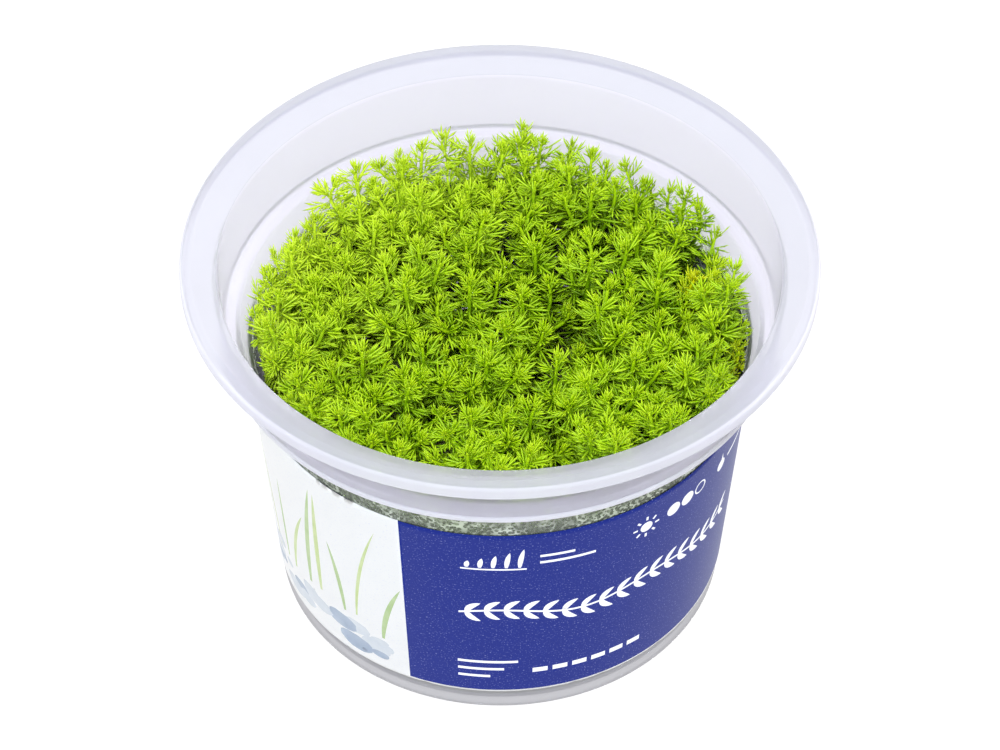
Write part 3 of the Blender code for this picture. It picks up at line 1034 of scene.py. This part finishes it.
def foot_rules(shapes):
    """Three short rules and a row of dashes near the label's lower edge."""
    for rule in range(3):
        z = (9.0 + 1.9 * rule) * MM
        shapes.append(("white_ink", rule_shape(-10.3, 4.4 - 3.4 * (2 - rule), z, width=0.6 * MM)))
    for dash in range(6):
        left = arc(8.0 + 5.0 * dash)
        shapes.append(("white_ink", box_shape(left, left + 2.5 * MM, low=10.0 * MM, high=11.1 * MM)))


def back_rules(shapes):
    """Blank lines for notes, all round the back."""
    for rule in range(5):
        z = (12.0 + 6.0 * rule) * MM
        for start, end in ((96, 170), (-172, -132)):
            shapes.append(("white_ink", rule_shape(start, end, z, width=0.3 * MM)))


def reed_wash(shapes):
    """The white field, with reeds that bend over a bed of pebbles."""
    rng = random.Random(WASH_SEED)
    left, right = arc(-123), arc(-23)
    shapes.append(("white_film", box_shape(left, right, LABEL_LOW, LABEL_HIGH)))
    for reed in range(REEDS):
        x = left + (right - left) * (reed + rng.uniform(0.2, 0.8)) / (REEDS + 1) + 2.0 * MM
        ink = ("reed_wash", "young_reed_wash")[reed % 2]
        length = rng.uniform(13.0, 27.0) * MM
        foot = rng.uniform(12.0, 16.0) * MM
        width = rng.uniform(0.6, 1.1) * MM
        lean = rng.uniform(-0.25, 0.25)
        shapes.append((ink, blade_shape(x, foot, length, width, lean, steps=14)))
    for stone in range(STONES):
        x = left + (right - left) * rng.uniform(0.05, 0.95)
        width = rng.uniform(1.3, 3.4) * MM
        ink = ("stone_wash", "dark_stone_wash")[stone % 3 == 0]
        z = rng.uniform(7.6, 15.0) * MM
        height = width * rng.uniform(0.4, 0.6)
        shapes.append((ink, oval_shape(x, z, width, height, sides=16, wobble=0.06, rng=rng)))


def foot_margin(shapes):
    """The bare white edge that the knife leaves under the print."""
    shapes.append(("white_film", box_shape(-HALF_LENGTH, HALF_LENGTH, LABEL_LOW, LABEL_LOW + LABEL_MARGIN)))


def stepped(outline):
    """An outline with more points on its long edges, so that each follows the round of the wall."""
    points = []
    for start, end in zip(outline, outline[1:] + outline[:1]):
        steps = max(1, math.ceil(abs(end[0] - start[0]) / FILM_GRID))
        for step in range(steps):
            share = step / steps
            points.append(Vector(start).lerp(Vector(end), share))
    return points


def box_of(outline):
    """The left, right, low and high of the box round an outline."""
    across = [x for x, z in outline]
    upward = [z for x, z in outline]
    return min(across), max(across), min(upward), max(upward)


def width_of(points, corners):
    """How far a face reaches round the label. Slivers along its edges would reach right across the cup."""
    across = [points[corner].x for corner in corners]
    return max(across) - min(across)


def holds(outline, x, z):
    """True where a point lies inside an outline: a line from it crosses the edge an odd number of times."""
    inside = False
    for (ax, az), (bx, bz) in zip(outline, outline[1:] + outline[:1]):
        if (az > z) != (bz > z) and x < ax + (z - az) / (bz - az) * (bx - ax):
            inside = not inside
    return inside


def film_grid():
    """An even grid of points over the whole film, which lets it bend round the wall."""
    columns = round(2 * HALF_LENGTH / FILM_GRID)
    rows = round((LABEL_HIGH - LABEL_LOW) / FILM_GRID)
    points = []
    for row in range(rows + 1):
        for column in range(columns + 1):
            points.append(Vector((-HALF_LENGTH + 2 * HALF_LENGTH * column / columns,
                                  LABEL_LOW + (LABEL_HIGH - LABEL_LOW) * row / rows)))
    return points


def ink_at(shapes, x, z):
    """The ink that was printed last at a point of the film."""
    for ink, outline, (left, right, low, high) in reversed(shapes):
        if left < x < right and low < z < high and holds(outline, x, z):
            return ink
    return "blue_ink"


def label_mesh(shapes):
    """The film's face, cut along every mark, so that each mark is a clean edge between two inks."""
    points = film_grid()
    faces = []
    for ink, outline in shapes:
        first = len(points)
        points += stepped(outline)
        faces.append(list(range(first, len(points))))
    found, _, cut_faces, _, _, _ = delaunay_2d_cdt(points, [], faces, 0, WELD, False)
    triangles = [corners for corners in cut_faces if width_of(found, corners) < 2 * FILM_GRID]
    around = []
    for x, z in found:
        angle = x / LABEL_RADIUS
        radius = lower_wall_radius(z) + FILM_OFF_WALL
        around.append((radius * math.sin(angle), -radius * math.cos(angle), z))
    mesh = bpy.data.meshes.new("label_film")
    mesh.from_pydata(around, [], triangles)
    boxed = [(ink, outline, box_of(outline)) for ink, outline in shapes]
    for polygon, corners in zip(mesh.polygons, triangles):
        x, z = sum((found[corner] for corner in corners), Vector((0.0, 0.0))) / 3
        polygon.material_index = list(INKS).index(ink_at(boxed, x, z))
    flat = mesh.uv_layers.new(name="film")
    for loop in mesh.loops:
        x, z = found[loop.vertex_index]
        flat.data[loop.index].uv = (x + HALF_LENGTH, z)
    mesh.shade_smooth()
    return mesh


def printed_film(name, ink, washed, soaking):
    """Polypropylene film with a satin varnish: even ink with pin holes in it, and a soft sheen.

    Where no blue is printed, light soaks through the white film into the cup.
    """
    material, tree = new_material(name)
    place = add_node(tree, "ShaderNodeUVMap", uv_map="film").outputs["UV"]
    cloud = add_node(tree, "ShaderNodeTexNoise",
                     {"Vector": place, "Scale": 1 / (3.0 * MM), "Detail": 4.0}).outputs["Fac"]
    dots = add_node(tree, "ShaderNodeTexNoise",
                    {"Vector": place, "Scale": 1 / (0.30 * MM), "Detail": 1.0}).outputs["Fac"]
    wash = add_node(tree, "ShaderNodeMix", {"Factor": cloud, 6: linear(ink), 7: linear(washed)},
                    data_type="RGBA").outputs[2]
    holes = add_node(tree, "ShaderNodeMapRange",
                     {"Value": dots, "From Min": 0.62, "From Max": 0.82, "To Max": 0.45})
    colour = add_node(tree, "ShaderNodeMix",
                      {"Factor": holes.outputs["Result"], 6: wash, 7: linear("#B8C0F0")},
                      data_type="RGBA").outputs[2]
    skin = add_node(tree, "ShaderNodeBump", {"Height": dots, "Strength": 0.1, "Distance": 0.01 * MM})
    shader = add_node(tree, "ShaderNodeBsdfPrincipled", {
        "Base Color": colour, "Normal": skin.outputs["Normal"], "Roughness": 0.35, "IOR": 1.5,
        "Specular IOR Level": 0.15, "Subsurface Weight": soaking, "Subsurface Scale": 1.0,
        "Subsurface Radius": (0.6 * MM, 0.6 * MM, 0.6 * MM)})
    add_node(tree, "ShaderNodeOutputMaterial", {"Surface": shader.outputs["BSDF"]})
    return material


marks = []
for draw in (reed_wash, height_scale, light_marks, water_drop, sprig, foot_rules, back_rules, foot_margin):
    draw(marks)
label = put_in_scene("label_film", label_mesh(marks))
for name, look in INKS.items():
    label.data.materials.append(printed_film(name, *look))
backs = {name: printed_film(name, *look) for name, look in BACKS.items()}
for name in INKS:
    label.data.materials.append(backs["blue_back" if name == "blue_ink" else "white_back"])
film = label.modifiers.new("Film", "SOLIDIFY")
film.thickness = FILM_THICKNESS
film.offset = 1.0
film.material_offset = len(INKS)
film.material_offset_rim = len(INKS)
settle(label)
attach(label, "root")
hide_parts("label")


# Floor, light and camera
# A plain white light table under soft studio light, seen from above the front as in the photograph.

CAMERA_DISTANCE = 650.0 * MM
CAMERA_TARGET = Vector((0.0, 0.0, 40.0 * MM))
CAMERA_ELEVATION = math.radians(45.67)
LENS = 145.68
FLOOR_SIZE = 4.0


def light_table():
    """Opal acrylic lit from below: even white, with only a faint cloud in its face."""
    material, tree = new_material("opal_acrylic")
    place = add_node(tree, "ShaderNodeTexCoord").outputs["Object"]
    cloud = add_node(tree, "ShaderNodeTexNoise", {"Vector": place, "Scale": 6.0}).outputs["Fac"]
    colour = add_node(tree, "ShaderNodeMix",
                      {"Factor": cloud, 6: linear("#59595A"), 7: linear("#5C5C5D")},
                      data_type="RGBA").outputs[2]
    shader = add_node(tree, "ShaderNodeBsdfPrincipled", {
        "Base Color": colour, "Roughness": 0.9, "Emission Color": linear("#FFFFFF"),
        "Emission Strength": 0.96})
    add_node(tree, "ShaderNodeOutputMaterial", {"Surface": shader.outputs["BSDF"]})
    return material


floor_mesh = bpy.data.meshes.new("floor")
corners = [(x * FLOOR_SIZE / 2, y * FLOOR_SIZE / 2, 0.0) for x, y in ((-1, -1), (1, -1), (1, 1), (-1, 1))]
floor_mesh.from_pydata(corners, [], [(0, 1, 2, 3)])
floor_mesh.materials.append(light_table())
floor = put_in_scene("floor", floor_mesh)

for name, place, size, power, tint in (
    ("overhead_softbox", (0.30, 0.60, 0.90), 0.6, 5.0, "#FFFFFF"),
    ("front_softbox", (-0.1, -0.75, 0.95), 0.14, 7.0, "#E4F2FF"),
):
    lamp = bpy.data.lights.new(name, "AREA")
    lamp.shape = "DISK"
    lamp.size = size
    lamp.energy = power
    lamp.color = linear(tint)[:3]
    box = put_in_scene(name, lamp)
    box.location = place
    box.rotation_euler = (CAMERA_TARGET - Vector(place)).to_track_quat("-Z", "Y").to_euler()

world = bpy.data.worlds.new("Studio")
world.use_nodes = True
world.node_tree.nodes["Background"].inputs["Color"].default_value = linear("#FFFFFF")
world.node_tree.nodes["Background"].inputs["Strength"].default_value = 1.0
bpy.context.scene.world = world
bpy.context.scene.view_settings.view_transform = "Standard"

lens = bpy.data.cameras.new("Camera")
lens.lens = LENS
lens.sensor_width = 36.0
lens.clip_start = 0.01
camera = put_in_scene("Camera", lens)
away = Vector((0.0, -math.cos(CAMERA_ELEVATION), math.sin(CAMERA_ELEVATION)))
camera.location = CAMERA_TARGET + away * CAMERA_DISTANCE
camera.rotation_euler = (-away).to_track_quat("-Z", "Y").to_euler()
bpy.context.scene.camera = camera
